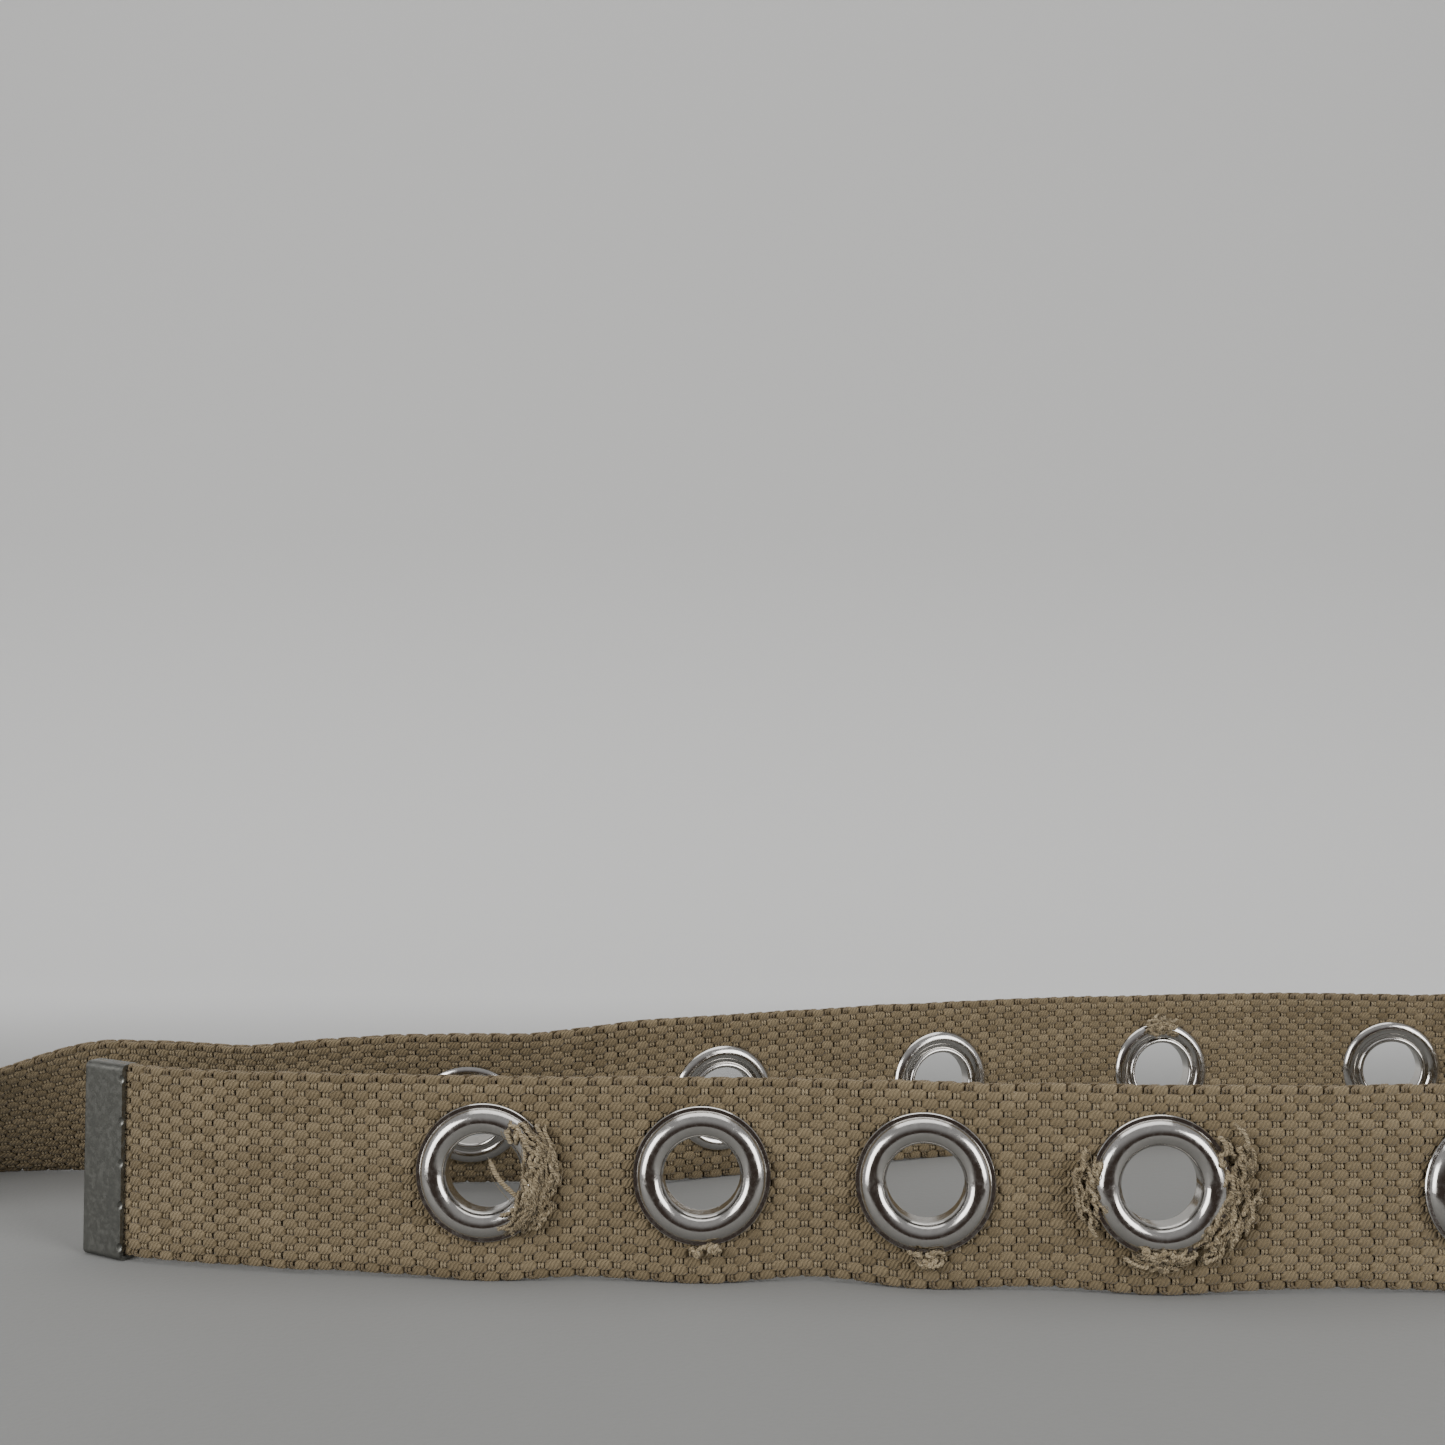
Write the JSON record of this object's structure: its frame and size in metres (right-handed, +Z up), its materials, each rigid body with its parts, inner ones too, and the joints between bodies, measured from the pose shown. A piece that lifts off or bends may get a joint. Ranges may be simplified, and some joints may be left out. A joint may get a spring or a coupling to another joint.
{
  "type": "grommet webbing belt",
  "caption": "Khaki cotton webbing belt with chromed grommets along its length, a crimped metal end tip, a roller buckle and a keeper, standing on edge in an open loop.",
  "frame": {"origin": "bottom centre of the bounding box", "axes": "+X along the front strand from the tip end towards the round of the loop, +Y from the front strand to the back strand, +Z up"},
  "size_m": [0.6096, 0.12, 0.0384],
  "materials": {
    "webbing": "matt coarse plain-weave cotton",
    "thread": "matt cotton thread",
    "grommet_plate": "bright nickel plate, lightly worn",
    "washer_plate": "bright nickel plate, lightly worn",
    "tip_metal": "dark satin gunmetal plate",
    "buckle_plate": "bright nickel plate, lightly worn"
  },
  "bodies": {
    "strap": {"webbing": "webbing", "tip": "tip_metal", "fold_stitching": "thread", "grommet_01": "grommet_plate", "grommet_02": "grommet_plate", "grommet_03": "grommet_plate", "grommet_04": "grommet_plate", "grommet_05": "grommet_plate", "grommet_06": "grommet_plate", "grommet_07": "grommet_plate", "grommet_08": "grommet_plate", "grommet_09": "grommet_plate", "grommet_10": "grommet_plate", "grommet_11": "grommet_plate", "grommet_12": "grommet_plate", "grommet_13": "grommet_plate", "grommet_14": "grommet_plate", "grommet_15": "grommet_plate", "grommet_16": "grommet_plate", "washer_01": "washer_plate", "washer_02": "washer_plate", "washer_03": "washer_plate", "washer_04": "washer_plate", "washer_05": "washer_plate", "washer_06": "washer_plate", "washer_07": "washer_plate", "washer_08": "washer_plate", "washer_09": "washer_plate", "washer_10": "washer_plate", "washer_11": "washer_plate", "washer_12": "washer_plate", "washer_13": "washer_plate", "washer_14": "washer_plate", "washer_15": "washer_plate", "washer_16": "washer_plate"},
    "buckle": {"buckle_frame": "buckle_plate"},
    "roller": {"roller": "buckle_plate"},
    "prong": {"prong": "buckle_plate"},
    "keeper": {"keeper": "buckle_plate"}
  },
  "joints": [
    {"name": "buckle_swing", "type": "hinge", "parent": "strap", "child": "buckle", "pos_m": [-0.26662, 0.0043, 0.0065], "axis": [0, 1, 0], "range_deg": [0, 60]},
    {"name": "prong_swing", "type": "hinge", "parent": "buckle", "child": "prong", "pos_m": [-0.26662, 0.0043, 0.0065], "axis": [0, 1, 0], "range_deg": [0, 80]},
    {"name": "roller_spin", "type": "hinge", "parent": "buckle", "child": "roller", "pos_m": [-0.30047, 0.0043, 0.00325], "axis": [0, 1, 0], "continuous": true},
    {"name": "keeper_slide", "type": "slide", "parent": "strap", "child": "keeper", "axis": [1, 0, 0], "range_m": [0, 0.026]}
  ]
}
